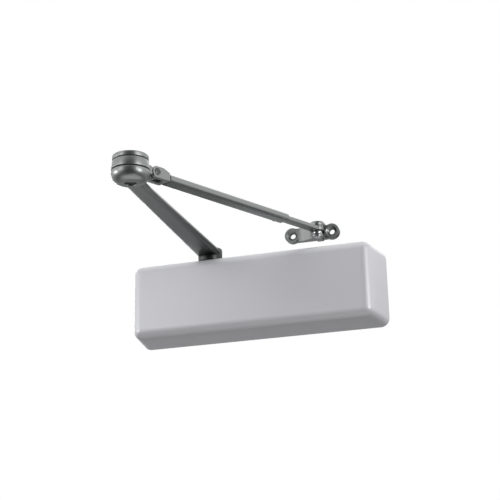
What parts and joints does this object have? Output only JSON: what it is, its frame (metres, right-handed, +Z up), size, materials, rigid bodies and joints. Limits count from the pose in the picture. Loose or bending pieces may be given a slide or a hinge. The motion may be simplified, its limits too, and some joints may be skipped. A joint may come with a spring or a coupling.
{
  "type": "door closer",
  "caption": "Surface-mounted hydraulic door closer: drafted rectangular cover, rack-and-pinion body, jointed two-piece arm with round elbow, and jamb shoe.",
  "frame": {"origin": "centre of the four body screws on the door face", "axes": "+X along the cover, to the right seen from the front; +Y into the door; +Z up"},
  "size_m": [0.312, 0.3169, 0.1354],
  "materials": {
    "cover_paint": "fine silver paint, satin",
    "arm_paint": "darker silver-grey metallic paint, semi-gloss",
    "cast_body": "cast, primed grey",
    "plated_steel": "zinc-plated",
    "bright_steel": "ground",
    "dark_steel": "blackened",
    "friction_lining": "matt friction lining",
    "rubber": "moulded nitrile",
    "bronze": "sintered bronze",
    "brass": "turned",
    "spring_steel": "oil-tempered"
  },
  "bodies": {
    "body": {"closer_body": "cast_body", "hydraulic_end_cap": "plated_steel", "spring_end_cap": "plated_steel", "end_cap_orings": "rubber", "pinion_bearings": "bright_steel", "shaft_seal": "rubber", "bearing_nut": "plated_steel", "lower_pinion_cap": "plated_steel", "cover_clips": "bright_steel", "clip_screws": "plated_steel", "main_spring": "spring_steel", "valve_orings": "rubber"},
    "cover": {"cover": "cover_paint"},
    "pinion_arm": {"pinion": "bright_steel", "main_arm": "arm_paint", "arm_washer": "plated_steel", "arm_screw": "dark_steel", "elbow_stud": "plated_steel", "elbow_cap": "arm_paint", "friction_discs": "friction_lining"},
    "elbow": {"elbow_band": "arm_paint", "elbow_bush": "bronze", "disc_springs": "spring_steel"},
    "forearm": {"clevis": "arm_paint", "clevis_pin": "dark_steel", "forearm_tube": "arm_paint", "length_screw": "dark_steel"},
    "rod": {"forearm_rod": "arm_paint", "eye_bush": "bronze"},
    "shoe": {"shoe": "arm_paint", "shoe_pin": "plated_steel", "spacer_washer": "plated_steel"},
    "piston": {"rack_piston": "bright_steel", "piston_seals": "rubber", "check_valve": "brass"},
    "seat": {"spring_seat": "plated_steel"},
    "power_screw": {"power_screw": "plated_steel"},
    "sweep_valve": {"sweep_valve": "brass"},
    "latch_valve": {"latch_valve": "brass"},
    "backcheck_valve": {"backcheck_valve": "brass"}
  },
  "joints": [
    {"name": "pinion_turn", "type": "hinge", "parent": "body", "child": "pinion_arm", "pos_m": [-0.057, -0.029, 0.056], "axis": [0, 0, 1], "range_deg": [0, 180]},
    {"name": "piston_slide", "type": "slide", "parent": "body", "child": "piston", "axis": [1, 0, 0], "range_m": [0, 0.0285], "deforming": ["main_spring"]},
    {"name": "elbow_turn", "type": "hinge", "parent": "pinion_arm", "child": "elbow", "pos_m": [-0.04953, -0.2965, 0.075], "axis": [0, 0, 1], "range_deg": [-150, 12]},
    {"name": "forearm_tilt", "type": "hinge", "parent": "elbow", "child": "forearm", "pos_m": [-0.03685, -0.26864, 0.0738], "axis": [0.9102, -0.4142, 0], "range_deg": [0, 12]},
    {"name": "rod_slide", "type": "slide", "parent": "forearm", "child": "rod", "axis": [0.4141, 0.91, 0.022], "range_m": [-0.02, 0.06]},
    {"name": "shoe_turn", "type": "hinge", "parent": "rod", "child": "shoe", "pos_m": [0.0772, -0.018, 0.078], "axis": [0, 0, 1], "range_deg": [-100, 50]},
    {"name": "cover_pull", "type": "slide", "parent": "body", "child": "cover", "axis": [0, -1, 0], "range_m": [0, 0.075]},
    {"name": "power_adjust", "type": "hinge", "parent": "body", "child": "power_screw", "pos_m": [0.129, -0.029, 0], "axis": [1, 0, 0], "range_deg": [0, 2881]},
    {"name": "seat_slide", "type": "slide", "parent": "body", "child": "seat", "axis": [-1, 0, 0], "range_m": [0, 0.01]},
    {"name": "sweep_turn", "type": "hinge", "parent": "body", "child": "sweep_valve", "pos_m": [-0.12, -0.014, 0.019], "axis": [-1, 0, 0], "range_deg": [-90, 360]},
    {"name": "latch_turn", "type": "hinge", "parent": "body", "child": "latch_valve", "pos_m": [-0.12, -0.014, -0.019], "axis": [-1, 0, 0], "range_deg": [-90, 360]},
    {"name": "backcheck_turn", "type": "hinge", "parent": "body", "child": "backcheck_valve", "pos_m": [0.12, -0.014, 0.019], "axis": [1, 0, 0], "range_deg": [-90, 360]}
  ],
  "couplings": [
    {"joint": "piston_slide", "follows": "pinion_turn", "m_per_rad": 0.009},
    {"joint": "power_adjust", "follows": "seat_slide", "rad_per_m": 5026.5}
  ]
}
